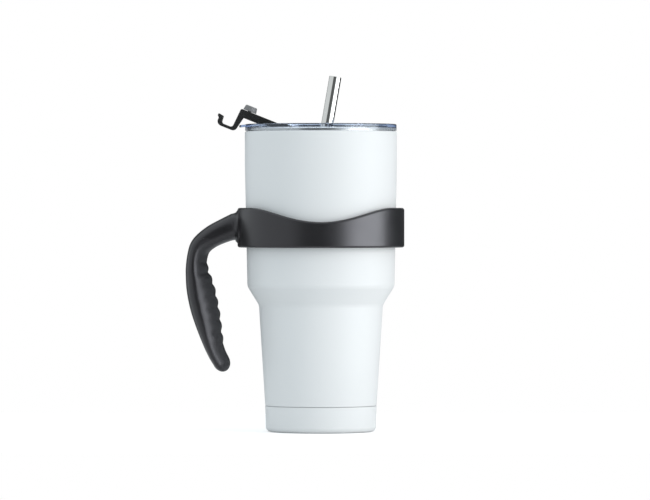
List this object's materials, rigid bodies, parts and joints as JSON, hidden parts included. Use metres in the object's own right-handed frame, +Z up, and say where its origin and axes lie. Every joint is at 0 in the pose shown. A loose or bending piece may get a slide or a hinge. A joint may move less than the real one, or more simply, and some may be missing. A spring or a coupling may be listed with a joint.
{
  "type": "insulated tumbler with lid",
  "caption": "Vacuum-insulated steel tumbler with a narrow lower half, a clear press-in lid with a flip closure, a metal straw and a slide-on handle.",
  "frame": {"origin": "centre of the flat face that the tumbler stands on, on the axis of the round body", "axes": "+Z up along the body's axis; the handle points along -X and the flip closure, at rest, is thrown open towards -X over it; the sip hole is at +X; +Y is the right-handed third axis"},
  "size_m": [0.1453, 0.1108, 0.2366],
  "materials": {
    "white_powder_coat": "satin white powder coat",
    "brushed_steel": "bare stainless steel, turned and brushed",
    "polished_steel": "polished stainless steel",
    "clear_plastic": "clear moulded plastic with a faint blue tint",
    "clear_silicone": "translucent silicone",
    "black_plastic": "charcoal-black moulded plastic, fine satin texture",
    "black_soft_grip": "soft-touch black elastomer",
    "grey_silicone": "matt grey silicone",
    "black_rubber": "matt black rubber",
    "getter_alloy": "pressed grey metal powder",
    "seal_glass": "fused sealing glass"
  },
  "bodies": {
    "tumbler": {"outer_shell": "white_powder_coat", "inner_liner": "brushed_steel", "outer_bottom": "brushed_steel", "vacuum_seal": "seal_glass", "getter": "getter_alloy", "getter_strap": "brushed_steel", "base_cup": "white_powder_coat", "base_plate": "brushed_steel"},
    "lid": {"lid_body": "clear_plastic", "lid_gasket": "clear_silicone", "flap_pin": "polished_steel"},
    "flap": {"flap_lever": "black_plastic", "flap_stopper": "grey_silicone"},
    "straw": {"straw": "polished_steel"},
    "handle": {"handle_frame": "black_plastic", "soft_grip": "black_soft_grip", "collar_pad_1": "black_rubber", "collar_pad_2": "black_rubber", "collar_pad_3": "black_rubber", "collar_pad_4": "black_rubber", "collar_pad_5": "black_rubber", "collar_pad_6": "black_rubber"}
  },
  "joints": [
    {"name": "lid_lift", "type": "slide", "parent": "tumbler", "child": "lid", "axis": [0, 0, 1], "range_m": [0, 0.05]},
    {"name": "flap_hinge", "type": "hinge", "parent": "lid", "child": "flap", "pos_m": [-0.00745, 0, 0.1935], "axis": [0, 1, 0], "range_deg": [0, 158.2]},
    {"name": "straw_slide", "type": "slide", "parent": "lid", "child": "straw", "axis": [0.1681, 0.0581, 0.9841], "range_m": [0, 0.2]},
    {"name": "handle_slide", "type": "slide", "parent": "tumbler", "child": "handle", "axis": [0, 0, -1], "range_m": [0, 0.16]}
  ]
}
